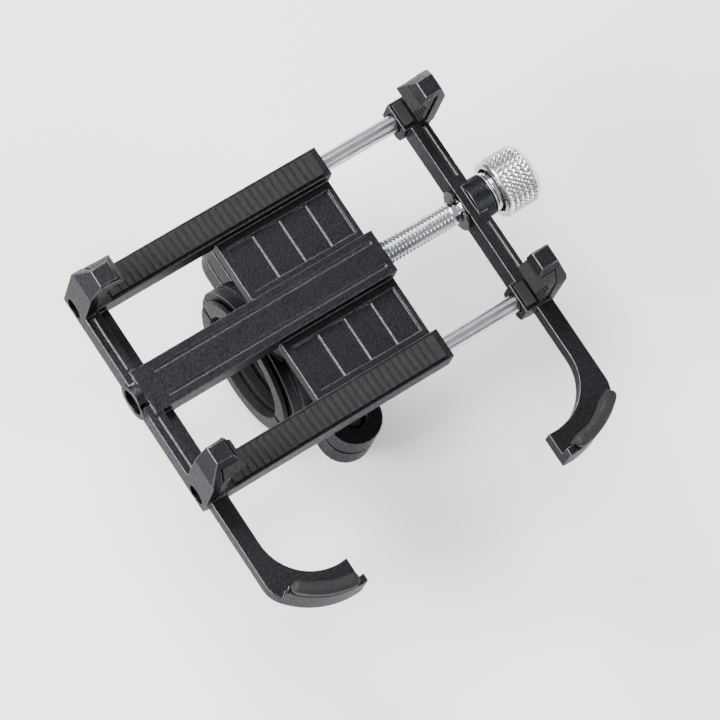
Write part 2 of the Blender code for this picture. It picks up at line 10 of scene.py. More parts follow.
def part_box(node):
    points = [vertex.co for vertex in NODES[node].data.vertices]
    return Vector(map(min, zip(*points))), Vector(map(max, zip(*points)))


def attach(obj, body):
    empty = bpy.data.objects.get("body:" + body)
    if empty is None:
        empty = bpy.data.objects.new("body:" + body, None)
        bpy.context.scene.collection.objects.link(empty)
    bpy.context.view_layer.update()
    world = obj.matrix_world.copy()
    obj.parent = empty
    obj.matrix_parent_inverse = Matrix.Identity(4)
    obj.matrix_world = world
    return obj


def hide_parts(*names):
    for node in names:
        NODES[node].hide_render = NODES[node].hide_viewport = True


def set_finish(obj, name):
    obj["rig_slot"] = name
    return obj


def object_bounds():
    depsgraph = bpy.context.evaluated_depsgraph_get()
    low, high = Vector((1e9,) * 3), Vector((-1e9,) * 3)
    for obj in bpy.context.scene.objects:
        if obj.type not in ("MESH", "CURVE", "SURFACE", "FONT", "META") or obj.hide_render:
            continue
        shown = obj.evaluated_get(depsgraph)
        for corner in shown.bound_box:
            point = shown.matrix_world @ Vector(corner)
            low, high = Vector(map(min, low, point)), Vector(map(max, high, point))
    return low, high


MM = 0.001
PAST = 1.0

# Mesh clean-up and edges
WELD = 2e-6
FLAT_ANGLE = math.radians(0.6)
SMOOTH_ANGLE = math.radians(32)
EDGE_ANGLE = math.radians(34)
EDGE_SEGMENTS = 3
FINE_SEGMENTS = 2

# Colours of the finishes, each from dark to light
ANODISED_COLORS = ((0.019, 0.0195, 0.021), (0.031, 0.032, 0.0345))
# Lighter colours for the rounded edges of anodised pieces: a painted highlight.
EDGE_HIGHLIGHT_COLORS = ((0.05, 0.051, 0.054), (0.10, 0.101, 0.105))
RUBBER_COLORS = ((0.0045, 0.0047, 0.0055), (0.0075, 0.0077, 0.0087))
STEEL_COLORS = ((0.46, 0.47, 0.49), (0.56, 0.56, 0.57))
BLACK_STEEL_COLORS = ((0.03, 0.03, 0.034), (0.055, 0.053, 0.052))
# The nickel's dark colour is painted shade in the knurl's grooves; its light colour is the plating.
NICKEL_AND_HOLLOW_SHADE_COLORS = ((0.09, 0.09, 0.09), (0.60, 0.595, 0.58))
CHROME_COLORS = ((0.66, 0.66, 0.68), (0.74, 0.74, 0.76))
NYLON_COLORS = ((0.5, 0.47, 0.4), (0.66, 0.64, 0.58))
FLOOR_COLORS = ((0.85, 0.85, 0.855), (0.87, 0.87, 0.87))

# From here on, lengths are in millimetres and places are in the row frame, unless a comment says otherwise.

# Widths of the rounded edges
FRAME_EDGE = 0.15
CLAW_PAD_EDGE = 0.3
BACK_PAD_EDGE = 0.09
JAW_PAD_EDGE = 0.15
CLAMP_EDGE = 0.12
LINER_EDGE = 0.12
PIVOT_EDGE = 0.22
ROD_EDGE = 0.12
SET_SCREW_EDGE = 0.08
WASHER_EDGE = 0.12
THIN_EDGE = 0.1
WAVE_WASHER_EDGE = 0.05
TURNED_EDGE = 0.22

# Planes that part the large faces before their edges are rounded, by axis
BASE_CUTS = {"X": (-36.9, -34.2, -12.0, -9.2, 15.2), "Y": (-17.0, -5.2, 5.2, 17.0), "Z": (27.0,)}
JAW_CUTS = {"Y": (5.0, -5.0, 0.0, 17.0, -17.0), "Z": (26.5,)}
SADDLE_CUTS = {"Y": (-11.0, -6.5, 0.0, 6.5, 11.0)}

# Details of the frames
AXIS_Z = 26.5
WALL_TOP = 29.3
WALL_GROOVE_Y = (5.4, 16.6)
WALL_GROOVE_HALF_WIDTH = 0.25
WALL_GROOVE_DEPTH = 0.3
BASE_GROOVE_X = -38.2
JAW_GROOVE_X = 36.2
POCKET_X = (-8.4, 14.4)
POCKET_Y = (6.4, 16.0)
POCKET_Z = (25.7, 28.0)
POCKET_LINE_X = (-3.0, 3.0, 9.0)
POCKET_LINE_HALF_WIDTH = 0.25
POCKET_LINE_FOOT = 25.4
RIB_LINE_X = (-34.0, 14.6)
RIB_LINE_Y = 2.6
RIB_LINE_HALF_WIDTH = 0.3
RIB_LINE_Z = (29.3, 31.0)
SET_SCREW_PLACE = (35.0, 20.8, 22.9)
SET_SCREW_SINK = (2.0, 1.4)
SET_SCREW_SINK_SPAN = (-0.5, 0.5)

# Grooves of the rubber pads
GRIP_X = 35.5
GRIP_GROOVE_Z = (32.2, 34.0, 35.8, 37.6)
GRIP_GROOVE_HALF_WIDTH = 0.45
GRIP_GROOVE_DEPTH = 0.5
PAD_GROOVE_PITCH = 1.5
PAD_GROOVE_MARGIN = 1.2
PAD_GROOVE_HALF_WIDTH = 0.3
PAD_GROOVE_DEPTH = 0.3

# Camera, with its place and its nearest distance in metres
CAMERA_PLACE = Vector((-0.233, -0.146, 0.792))
CAMERA_RIGHT = Vector((0.8268, -0.5446, 0.1407))
CAMERA_LENS = 218.0
CAMERA_SENSOR = 36.0
CAMERA_CLIP = 0.01

# Lights: name, place in metres, size in metres, power in watts and colour
LIGHTS = (
    ("key", (-0.62, 0.12, 0.5), 0.3, 16.0, (1.0, 0.98, 0.95)),
    ("top", (-0.1, 0.6, 0.8), 0.45, 18.0, (1.0, 1.0, 1.0)),
    ("rim", (0.6, -0.5, 0.45), 0.3, 8.0, (0.94, 0.97, 1.0)),
)

# Surround, and the floor's half width in metres
SURROUND_COLOR = (0.93, 0.95, 1.0, 1.0)
SURROUND_STRENGTH = 0.55
FLOOR_SIZE = 3.0

# Thumb screw, with profiles of (radius, X) pairs. CORE_RADIUS ends a profile close to the axis.
CORE_RADIUS = 0.02
SCREW_RADIUS = 2.4
SCREW_THREAD_DEPTH = 0.42
SCREW_PITCH = 0.8
SCREW_THREAD_END = 31.9
NECK_PROFILE = ((2.3, 31.5), (2.3, 32.9), (1.9, 32.95), (1.9, 33.7), (2.3, 33.75), (2.3, 40.5))
HUB_PROFILE = ((4.0, 40.5), (4.0, 43.1), (3.2, 43.1))
THREAD_SIDES = 48
THREAD_STEPS = 8
THREAD_STEEPNESS = 1.45

# Knob: edges are (inset from the rim, depth below an end face) pairs, the dish and the bore's edge are
# (radius, depth below an end face) pairs, and the bore is (radius, X) pairs.
KNURL_COUNT = 34
KNURL_DEPTH = 0.32
KNURL_STEPS = 8
KNURL_STEEPNESS = 1.7
KNURL_FADE = 0.35
KNURL_MARGINS = (0.55, 1.35)
KNOB_OUTER_EDGE = ((0.0, 1.15), (0.95, 0.12), (1.2, 0.0))
KNOB_DISH = ((3.9, 0.0), (3.5, 0.12), (3.3, 0.45), (CORE_RADIUS, 0.5))
KNOB_BORE = ((CORE_RADIUS, 47.8), (3.35, 47.8), (3.35, 43.5), (4.45, 43.4), (4.55, 43.2))
KNOB_BORE_EDGE = ((4.6, 0.1), (4.7, 0.0))
KNOB_INNER_EDGE = ((0.55, 0.0), (0.2, 0.12), (0.0, 0.45))

# Clamp and its bolts
CLAMP_LINE_X = (-7.8, 7.8)
CLAMP_LINE_RADII = (15.3, 18.0)
CLAMP_LINE_HALF_WIDTH = 0.3
LINER_GROOVE_X = (-9, -6, -3, 0, 3, 6, 9)
LINER_GROOVE_RADII = (10.6, 11.5)
LINER_GROOVE_HALF_WIDTH = 0.45
GROOVE_SIDES = 128
BOLT_RADIUS = 2.0
BOLT_PITCH = 0.7
BOLT_THREAD_DEPTH = 0.36
BOLT_HEAD_HEIGHT = 3.6
BOLT_HEAD_SIDES = 288
BOLT_HEAD_EDGE = 0.4
BOLT_HEAD_LEVELS = (0.0, 0.15, 0.4)
BOLT_SHANK_OVERLAP = 0.3
BOLT_HEAD_INSET = 0.35
BOLT_KNURL_COUNT = 36
BOLT_KNURL_DEPTH = 0.16
BOLT_SOCKET_RADIUS = 1.75
BOLT_SOCKET_DEPTH = 2.0

# Hook caps, with angles in degrees. Their section shrinks over the tip angle at both ends.
CAP_CENTRE = (24.3, -35.0)
CAP_RADII = (14.2, 16.8)
CAP_SKIRT_RADIUS = 14.9
CAP_SEAT_Z = 33.3
CAP_FIRST_ANGLE = -90.0
CAP_LAST_ANGLE = -42.0
CAP_TIP_ANGLE = 5.0
CAP_TIP_STEPS = 6
CAP_TURN_STEP = 2.0
CAP_LEAST_SHARE = 0.05
CAP_EDGE = 1.0
CAP_EDGE_STEPS = 5


# Nodes and materials


def new_material(name, color, roughness, metallic=0.0):
    """A material and its main shader, with the shader's plain values set."""
    material = bpy.data.materials.new(name)
    material.use_nodes = True
    shader = material.node_tree.nodes["Principled BSDF"]
    shader.inputs["Base Color"].default_value = (*color, 1.0)
    shader.inputs["Roughness"].default_value = roughness
    shader.inputs["Metallic"].default_value = metallic
    return material, shader


def noise(tree, scale, detail, stretch=(1.0, 1.0, 1.0)):
    """A noise value in the object's own space, drawn out along an axis by stretch."""
    place = tree.nodes.new("ShaderNodeTexCoord")
    mapping = tree.nodes.new("ShaderNodeMapping")
    mapping.inputs["Scale"].default_value = stretch
    texture = tree.nodes.new("ShaderNodeTexNoise")
    texture.inputs["Scale"].default_value = scale
    texture.inputs["Detail"].default_value = detail
    tree.links.new(place.outputs["Object"], mapping.inputs["Vector"])
    tree.links.new(mapping.outputs["Vector"], texture.inputs["Vector"])
    return texture.outputs["Fac"]


def ramp(tree, value, low, high, start=0.35, stop=0.65):
    """Value carried from the range start to stop onto the range low to high."""
    scale = tree.nodes.new("ShaderNodeMapRange")
    scale.inputs["From Min"].default_value = start
    scale.inputs["From Max"].default_value = stop
    scale.inputs["To Min"].default_value = low
    scale.inputs["To Max"].default_value = high
    tree.links.new(value, scale.inputs["Value"])
    return scale.outputs["Result"]


def tint(tree, shader, value, dark, light):
    """The base colour, running from dark to light with a value between 0 and 1."""
    mix = tree.nodes.new("ShaderNodeMix")
    mix.data_type = "RGBA"
    mix.inputs["A"].default_value = (*dark, 1.0)
    mix.inputs["B"].default_value = (*light, 1.0)
    tree.links.new(value, mix.inputs["Factor"])
    tree.links.new(mix.outputs["Result"], shader.inputs["Base Color"])


def pointiness(tree):
    """A value above 0.5 on a mesh's outer edges and below 0.5 in its hollows."""
    return tree.nodes.new("ShaderNodeNewGeometry").outputs["Pointiness"]


def relief(tree, shader, heights, depth):
    """Bumps of a given depth in metres, from one or more height values added up."""
    total = heights[0]
    for height in heights[1:]:
        add = tree.nodes.new("ShaderNodeMath")
        tree.links.new(total, add.inputs[0])
        tree.links.new(height, add.inputs[1])
        total = add.outputs[0]
    bump = tree.nodes.new("ShaderNodeBump")
    bump.inputs["Strength"].default_value = 1.0
    bump.inputs["Distance"].default_value = depth
    tree.links.new(total, bump.inputs["Height"])
    tree.links.new(bump.outputs["Normal"], shader.inputs["Normal"])


def anodised_aluminium(name, dark, light):
    """Black anodised aluminium, blasted to a fine even grain before the dye."""
    material, shader = new_material(name, dark, 0.4, 1.0)
    tree = material.node_tree
    tint(tree, shader, ramp(tree, noise(tree, 2600, 3), 0.0, 1.0), dark, light)
    tree.links.new(ramp(tree, noise(tree, 1900, 3), 0.34, 0.46), shader.inputs["Roughness"])
    relief(tree, shader, [noise(tree, 5200, 2), ramp(tree, noise(tree, 2100, 3), 0.0, 0.6)], 0.000024)
    shader.inputs["Specular Tint"].default_value = (0.55, 0.55, 0.56, 1.0)
    return material


def moulded_rubber():
    """Matte black rubber with the mould's faint grain and a little grey bloom."""
    material, shader = new_material("rubber_black", (0.006, 0.0062, 0.007), 0.72)
    tree = material.node_tree
    bloom = ramp(tree, noise(tree, 700, 4), 0.0, 1.0, 0.4, 0.75)
    tint(tree, shader, bloom, *RUBBER_COLORS)
    tree.links.new(ramp(tree, noise(tree, 1500, 3), 0.58, 0.78), shader.inputs["Roughness"])
    relief(tree, shader, [noise(tree, 3400, 2)], 0.000022)
    shader.inputs["Specular IOR Level"].default_value = 0.3
    return material


def plated(name, colors, roughness, wear, brush=(1.0, 1.0, 1.0), depth=0.000003, paint_hollow_shade=False):
    """Plated or polished metal with fine scratches, drawn out along one axis by brush. The last flag swaps
    the random tone for painted shade, dark in the mesh's hollows.
    """
    dark, light = colors
    material, shader = new_material(name, light, roughness[0], 1.0)
    tree = material.node_tree
    tone_and_shade = ramp(tree, noise(tree, 330, 4), 0.0, 1.0)
    # Painted shade: the colour turns dark in the mesh's hollows, such as the knurl's grooves, where shade
    # falls.
    if paint_hollow_shade:
        tone_and_shade = ramp(tree, pointiness(tree), 0.0, 1.0, 0.40, 0.50)
    tint(tree, shader, tone_and_shade, dark, light)
    scratches = noise(tree, wear, 3, brush)
    tree.links.new(ramp(tree, scratches, *roughness), shader.inputs["Roughness"])
    relief(tree, shader, [scratches], depth)
    return material


def natural_nylon():
    """Pale nylon, slightly clouded, with a soft moulded skin."""
    material, shader = new_material("nylon", (0.62, 0.6, 0.55), 0.45)
    tree = material.node_tree
    tint(tree, shader, ramp(tree, noise(tree, 420, 4), 0.0, 1.0), *NYLON_COLORS)
    tree.links.new(ramp(tree, noise(tree, 1300, 2), 0.38, 0.55), shader.inputs["Roughness"])
    relief(tree, shader, [noise(tree, 2600, 2)], 0.00001)
    return material


def make_materials():
    """Every finish of the mount, by the name of its slot in the record."""
    along = (0.03, 1.0, 1.0)
    return {
        "anodised_black": anodised_aluminium("anodised_black", *ANODISED_COLORS),
        # A lighter copy of the anodised finish, used as a painted highlight on rounded edges.
        "anodised_edge_highlight": anodised_aluminium("anodised_edge_highlight", *EDGE_HIGHLIGHT_COLORS),
        "rubber_black": moulded_rubber(),
        "steel": plated("steel", STEEL_COLORS, (0.22, 0.3), 9000, along, 0.000001),
        "black_steel": plated("black_steel", BLACK_STEEL_COLORS, (0.34, 0.5), 2600),
        # The nickel gets painted shade in the knurl's grooves.
        "nickel": plated("nickel", NICKEL_AND_HOLLOW_SHADE_COLORS, (0.22, 0.32), 3600, paint_hollow_shade=True),
        "chrome": plated("chrome", CHROME_COLORS, (0.05, 0.14), 2400, along, 0.000001),
        "nylon": natural_nylon(),
    }


# Mesh pieces


def to_object(name, bm):
    """A linked object from a mesh under construction, its faces turned outwards."""
    bmesh.ops.recalc_face_normals(bm, faces=bm.faces[:])
    mesh = bpy.data.meshes.new(name)
    bm.to_mesh(mesh)
    bm.free()
    thing = bpy.data.objects.new(name, mesh)
    bpy.context.scene.collection.objects.link(thing)
    return thing


def tidy_faces(bm):
    """Welds split vertices and joins the triangles of each flat face."""
    bmesh.ops.remove_doubles(bm, verts=bm.verts[:], dist=WELD)
    bmesh.ops.dissolve_limit(
        bm, angle_limit=FLAT_ANGLE, verts=bm.verts[:], edges=bm.edges[:], use_dissolve_boundaries=False
    )


def shade(thing):
    """Smooth shading that stops at the real edges."""
    mesh = thing.data
    for face in mesh.polygons:
        face.use_smooth = True
    mesh.set_sharp_from_angle(angle=SMOOTH_ANGLE)


def block(bm, low, high):
    """Adds a box between two corners."""
    corners = bmesh.ops.create_cube(bm, size=1.0)["verts"]
    low, high = Vector(low), Vector(high)
    for vert in corners:
        place = Vector(0.5 + value for value in vert.co)
        vert.co = MM * (low + place * (high - low))


def turn_matrix(axis, centre):
    """Carries points along Z onto an axis through a centre."""
    turns = {"X": Matrix.Rotation(math.pi / 2, 4, "Y"), "Z": Matrix.Identity(4)}
    return Matrix.Translation(MM * Vector(centre)) @ turns[axis]


def join_rings(bm, rings):
    """Adds the faces between each ring of vertices and the next."""
    for lower, upper in zip(rings, rings[1:]):
        for index in range(len(lower)):
            after = (index + 1) % len(lower)
            bm.faces.new((lower[index], lower[after], upper[after], upper[index]))


def capped(bm, rings):
    """Adds a tube through rings of vertices, closed at both ends."""
    join_rings(bm, rings)
    bm.faces.new(rings[0][::-1])
    bm.faces.new(rings[-1])


def turned_rings(bm, profile, sides, matrix):
    """Round rings of vertices through a profile of (radius, height) pairs."""
    rings = []
    for radius, height in profile:
        rings += grid_rings(bm, lambda at, angle, flat=radius: flat, [height], sides, matrix)
    return rings


def lathe(bm, profile, centre=(0, 0, 0), sides=96):
    """Adds a closed body turned about an axis along X, from (radius, X) pairs."""
    rings = turned_rings(bm, profile, sides, turn_matrix("X", centre))
    join_rings(bm, rings + rings[:1])


def grid_rings(bm, radius_at, heights, sides, matrix):
    """Rings of vertices whose radius depends on height and angle."""
    rings = []
    for height in heights:
        ring = []
        for step in range(sides):
            angle = 2 * math.pi * step / sides
            radius = radius_at(height, angle)
            point = Vector((radius * math.cos(angle), radius * math.sin(angle), height))
            ring.append(bm.verts.new(matrix @ (MM * point)))
        rings.append(ring)
    return rings


def steps(start, stop, spacing):
    """Evenly spaced values from start to stop, both included."""
    count = max(1, round((stop - start) / spacing))
    return [start + (stop - start) * index / count for index in range(count + 1)]


def wave(turns):
    """A rounded ridge between 0 and 1 that repeats once a turn."""
    return 0.5 + 0.5 * math.cos(2 * math.pi * turns)


def ridge(turns):
    """A straight-sided ridge between 0 and 1 that repeats once a turn."""
    return abs(2 * (turns % 1.0) - 1)


def rounded(profile, radius, corner_steps=4):
    """A closed profile with each of its corners rounded by up to a radius."""
    points = [Vector(point) for point in profile]
    result = []
    for index, corner in enumerate(points):
        before = points[index - 1] - corner
        after = points[(index + 1) % len(points)] - corner
        reach = min(radius, before.length / 2.2, after.length / 2.2)
        start = corner + before.normalized() * reach
        stop = corner + after.normalized() * reach
        for step in range(corner_steps + 1):
            share = step / corner_steps
            point = start.lerp(corner, share).lerp(corner.lerp(stop, share), share)
            result.append((point.x, point.y))
    return result


def thread(bm, radius, depth, pitch, span, matrix):
    """Adds a rod with a right-hand thread, tapered over its first and last turns."""
    start, stop = span

    def radius_at(height, angle):
        turns = height / pitch - angle / (2 * math.pi)
        crest = min(1.0, THREAD_STEEPNESS * ridge(turns))
        inside = min(1.0, (height - start) / pitch, (stop - height) / pitch)
        return radius - depth + depth * crest * max(0.0, inside)

    heights = steps(start, stop, pitch / THREAD_STEPS)
    capped(bm, grid_rings(bm, radius_at, heights, THREAD_SIDES, matrix))


def evaluated(thing):
    """The mesh of a thing with its modifiers applied."""
    graph = bpy.context.evaluated_depsgraph_get()
    return bpy.data.meshes.new_from_object(thing.evaluated_get(graph))


def carve(thing, cutter):
    """Cuts one thing out of another for good, and removes the cutter."""
    modifier = thing.modifiers.new("carve", "BOOLEAN")
    modifier.object = cutter
    modifier.solver = "EXACT"
    modifier.use_self = True
    mesh = evaluated(thing)
    thing.modifiers.remove(modifier)
    thing.data = mesh
    bpy.data.objects.remove(cutter)


def soften(thing, width, segments=EDGE_SEGMENTS):
    """Rounds the real edges of a thing by a width; anodised pieces get a lighter copy of their finish on
    the rounded edges, as a painted highlight.
    """
    modifier = thing.modifiers.new("edges", "BEVEL")
    modifier.width = width * MM
    modifier.segments = segments
    modifier.limit_method = "ANGLE"
    modifier.angle_limit = EDGE_ANGLE
    # Anodised pieces get the lighter copy of their finish on their rounded edges, as a painted highlight.
    if thing.get("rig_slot") == "anodised_black":
        modifier.use_clamp_overlap = False
        thing.data.materials.append(FINISHES["anodised_edge_highlight"])
        modifier.material = 1
    normals = thing.modifiers.new("normals", "WEIGHTED_NORMAL")
    normals.keep_sharp = True
    normals.weight = 100


def copied(node, name):
    """A new piece with the shape of a CAD node, its flat faces joined up."""
    bm = bmesh.new()
    bm.from_mesh(NODES[node].data)
    tidy_faces(bm)
    return to_object(name, bm)


def settle(thing, body, slot, node):
    """Gives a piece its finish and its body, and hides the CAD node that it stands for."""
    thing.data.materials.clear()
    thing.data.materials.append(FINISHES[slot])
    shade(thing)
    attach(thing, body)
    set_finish(thing, slot)
    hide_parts(node)


def reshape(thing, change, *values):
    """Makes a change to the mesh of a thing."""
    bm = bmesh.new()
    bm.from_mesh(thing.data)
    change(bm, *values)
    bm.to_mesh(thing.data)
    bm.free()


def part_faces(bm, cuts):
    """Splits faces along planes, so that none of them winds round a hole or a corner."""
    for axis, places in cuts.items():
        normal = Vector([float(axis == letter) for letter in "XYZ"])
        for place in places:
            everything = bm.verts[:] + bm.edges[:] + bm.faces[:]
            point = normal * place * MM
            bmesh.ops.bisect_plane(bm, geom=everything, dist=WELD, plane_co=point, plane_no=normal)


def detailed(node, word, body, slot, width, cutter=None, segments=EDGE_SEGMENTS, cuts=None):
    """A piece from a CAD node, with details cut into it and its edges rounded."""
    thing = copied(node, f"{node}_{word}")
    if cutter is not None:
        carve(thing, cutter)
        reshape(thing, tidy_faces)
    if cuts is not None:
        reshape(thing, part_faces, cuts)
    settle(thing, body, slot, node)
    soften(thing, width, segments)


def box_of(node):
    """A node's lowest and highest corners, in millimetres."""
    low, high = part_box(node)
    return low / MM, high / MM


# Cradle


def cone(bm, centre, radii, span, sides=64):
    """Adds a solid cone or cylinder about Z, its ends at two heights above a centre."""
    capped(bm, turned_rings(bm, list(zip(radii, span)), sides, turn_matrix("Z", centre)))


def wall_groove(bm, x):
    """Adds the thin groove that runs along the top of a wall, on both sides of the screw's eye."""
    half = WALL_GROOVE_HALF_WIDTH
    for side in (-1, 1):
        start, stop = sorted(side * y for y in WALL_GROOVE_Y)
        block(bm, (x - half, start, WALL_TOP - WALL_GROOVE_DEPTH), (x + half, stop, WALL_TOP + PAST))


def base_details():
    """The pockets and grooves milled in the base frame."""
    bm = bmesh.new()
    (left, right), (foot, top) = POCKET_X, POCKET_Z
    for side in (1, -1):
        near, far = sorted(side * y for y in POCKET_Y)
        block(bm, (left, near, foot), (right, far, top))
        half = POCKET_LINE_HALF_WIDTH
        for x in POCKET_LINE_X:
            block(bm, (x - half, near, POCKET_LINE_FOOT), (x + half, far, top))
    (left, right), (foot, top) = RIB_LINE_X, RIB_LINE_Z
    half = RIB_LINE_HALF_WIDTH
    for y in (-RIB_LINE_Y, RIB_LINE_Y):
        block(bm, (left, y - half, foot), (right, y + half, top))
    wall_groove(bm, BASE_GROOVE_X)
    return to_object("base_cutter", bm)


def jaw_details():
    """The groove along the jaw's wall and the countersinks of its set screws."""
    bm = bmesh.new()
    wall_groove(bm, JAW_GROOVE_X)
    x, y, z = SET_SCREW_PLACE
    for side in (1, -1):
        cone(bm, (x, side * y, z), SET_SCREW_SINK, SET_SCREW_SINK_SPAN)
    return to_object("jaw_cutter", bm)


def grip_grooves(side, end):
    """The grooves moulded across a claw pad's gripping face."""
    bm = bmesh.new()
    low, high = box_of(pad_node(side, end))
    grip, half = GRIP_X * side, GRIP_GROOVE_HALF_WIDTH
    near, far = sorted((grip - side * PAST, grip + side * GRIP_GROOVE_DEPTH))
    for z in GRIP_GROOVE_Z:
        block(bm, (near, low.y - PAST, z - half), (far, high.y + PAST, z + half))
    return to_object("grip_cutter", bm)


def pad_node(side, end):
    """The name of the claw pad on a side and at an end."""
    return f"claw_pad_{'right' if side > 0 else 'left'}_{'upper' if end > 0 else 'lower'}"


def cross_grooves(node):
    """Fine grooves across a flat pad's top."""
    bm = bmesh.new()
    low, high = box_of(node)
    pitch = PAD_GROOVE_PITCH
    count = int((high.x - low.x - PAD_GROOVE_MARGIN) / pitch)
    first = (low.x + high.x - (count - 1) * pitch) / 2
    half, depth = PAD_GROOVE_HALF_WIDTH, PAD_GROOVE_DEPTH
    for index in range(count):
        x = first + index * pitch
        block(bm, (x - half, low.y - PAST, high.z - depth), (x + half, high.y + PAST, high.z + PAST))
    return to_object("pad_cutter", bm)


def cap_stations():
    """Angles along a hook cap in degrees, each with the share of the section left there."""

    def section_share(reach):
        return max(CAP_LEAST_SHARE, math.sqrt(1 - reach**2))

    tip = [CAP_TIP_ANGLE * step / CAP_TIP_STEPS for step in range(CAP_TIP_STEPS + 1)]
    start = CAP_FIRST_ANGLE + CAP_TIP_ANGLE
    stop = CAP_LAST_ANGLE - CAP_TIP_ANGLE
    stations = [(CAP_FIRST_ANGLE + angle, section_share(1 - angle / CAP_TIP_ANGLE)) for angle in tip]
    stations += [(angle, 1.0) for angle in steps(start, stop, CAP_TURN_STEP)[1:]]
    stations += [(stop + angle, section_share(angle / CAP_TIP_ANGLE)) for angle in tip[1:]]
    return stations


def make_hook_cap(side, node, body):
    """A hook's rubber cap: a crowned bead with rounded ends and a skirt inside the hook's wall."""
    low, high = box_of(node)
    (inner, outer), seat = CAP_RADII, CAP_SEAT_Z
    section = [(inner, low.z), (CAP_SKIRT_RADIUS, low.z), (CAP_SKIRT_RADIUS, seat)]
    section += [(outer, seat), (outer, high.z), (inner, high.z)]
    section = rounded(section, CAP_EDGE, CAP_EDGE_STEPS)
    core = Vector(((outer + inner) / 2, (seat + high.z) / 2))
    bm = bmesh.new()
    rings = []
    for angle, share in cap_stations():
        turn = math.radians(angle)
        ring = []
        for point in section:
            radius, height = core + (Vector(point) - core) * share
            x = side * (CAP_CENTRE[0] + radius * math.cos(turn))
            y = CAP_CENTRE[1] + radius * math.sin(turn)
            ring.append(bm.verts.new((x * MM, y * MM, height * MM)))
        rings.append(ring)
    capped(bm, rings)
    settle(to_object(f"{node}_moulded", bm), body, "rubber_black", node)


def make_cradle():
    """The base frame with its pads, hook cap and swivel screw."""
    body, rubber, fine = "cradle", "rubber_black", FINE_SEGMENTS
    detailed("base_frame", "milled", body, "anodised_black", FRAME_EDGE, base_details(), cuts=BASE_CUTS)
    for end, place in ((1, "upper"), (-1, "lower")):
        detailed(pad_node(-1, end), "moulded", body, rubber, CLAW_PAD_EDGE, grip_grooves(-1, end))
        node = f"back_pad_{place}"
        detailed(node, "ribbed", body, rubber, BACK_PAD_EDGE, cross_grooves(node), fine)
    make_hook_cap(-1, "hook_cap_left", body)
    detailed("swivel_screw", "turned", body, "black_steel", PIVOT_EDGE)
    detailed("swivel_wave_washer", "pressed", body, "steel", WAVE_WASHER_EDGE, segments=fine)


# Sliding jaw


def make_jaw():
    """The sliding jaw with its pads, hook cap, guide rods and set screws."""
    body, rubber, fine = "sliding_jaw", "rubber_black", FINE_SEGMENTS
    detailed("jaw_frame", "milled", body, "anodised_black", FRAME_EDGE, jaw_details(), cuts=JAW_CUTS)
    for end, place in ((1, "upper"), (-1, "lower")):
        detailed(pad_node(1, end), "moulded", body, rubber, CLAW_PAD_EDGE, grip_grooves(1, end))
        detailed(f"jaw_pad_{place}", "moulded", body, rubber, JAW_PAD_EDGE, segments=fine)
        detailed(f"guide_rod_{place}", "ground", body, "steel", ROD_EDGE)
        detailed(f"rod_set_screw_{place}", "socketed", body, "black_steel", SET_SCREW_EDGE, segments=fine)
    make_hook_cap(1, "hook_cap_right", body)


# Thumb screw


def make_screw():
    """The thumb screw: a threaded shank, a plain neck for the clip and a polished hub."""
    low, high = box_of("thumb_screw")
    span = (low.x, SCREW_THREAD_END)
    bm = bmesh.new()
    thread(bm, SCREW_RADIUS, SCREW_THREAD_DEPTH, SCREW_PITCH, span, turn_matrix("X", (0, 0, AXIS_Z)))
    settle(to_object("thumb_screw_thread", bm), "thumb_screw", "steel", "thumb_screw")
    bm = bmesh.new()
    profile = [(CORE_RADIUS, NECK_PROFILE[0][1]), *NECK_PROFILE, *HUB_PROFILE]
    profile += [(HUB_PROFILE[-1][0], high.x), (CORE_RADIUS, high.x)]
    lathe(bm, rounded(profile, TURNED_EDGE), (0, 0, AXIS_Z))
    settle(to_object("thumb_screw_hub", bm), "thumb_screw", "chrome", "thumb_screw")


def knurled_radius(radius, span):
    """The radius of a sleeve knurled in small squares, at each height and angle."""
    spacing = 2 * math.pi * radius / KNURL_COUNT

    def radius_at(height, angle):
        around = ridge(KNURL_COUNT * angle / (2 * math.pi))
        along = ridge(height / spacing)
        pyramid = min(around, along)
        fade = min(1.0, (height - span[0]) / KNURL_FADE, (span[1] - height) / KNURL_FADE)
        return radius - KNURL_DEPTH * (1 - min(1.0, KNURL_STEEPNESS * pyramid)) * max(0.0, fade)

    return radius_at


def make_knob():
    """The knob: a cross-knurled sleeve, bevelled outside and dished at its end."""
    low, high = box_of("knurled_knob")
    radius = (high.y - low.y) / 2
    matrix = turn_matrix("X", (0, 0, AXIS_Z))
    bm = bmesh.new()
    sides = KNURL_COUNT * KNURL_STEPS
    band = (low.x + KNURL_MARGINS[0], high.x - KNURL_MARGINS[1])
    heights = steps(*band, 2 * math.pi * radius / sides)
    sleeve = grid_rings(bm, knurled_radius(radius, band), heights, sides, matrix)
    end = [(radius - inset, high.x - depth) for inset, depth in KNOB_OUTER_EDGE]
    end += [(inner, high.x - depth) for inner, depth in KNOB_DISH]
    start = list(KNOB_BORE)
    start += [(inner, low.x + depth) for inner, depth in KNOB_BORE_EDGE]
    start += [(radius - inset, low.x + depth) for inset, depth in KNOB_INNER_EDGE]
    outer = turned_rings(bm, end, sides, matrix)
    bore = turned_rings(bm, start, sides, matrix)
    capped(bm, bore + sleeve + outer)
    settle(to_object("knurled_knob_cut", bm), "thumb_screw", "nickel", "knurled_knob")


def make_thumb_screw():
    """The thumb screw with its knob, thrust washer and clip."""
    make_screw()
    make_knob()
    body = "thumb_screw"
    detailed("thrust_washer", "polished", body, "steel", THIN_EDGE)
    detailed("retaining_clip", "pressed", body, "black_steel", THIN_EDGE, segments=FINE_SEGMENTS)


# Handlebar clamp


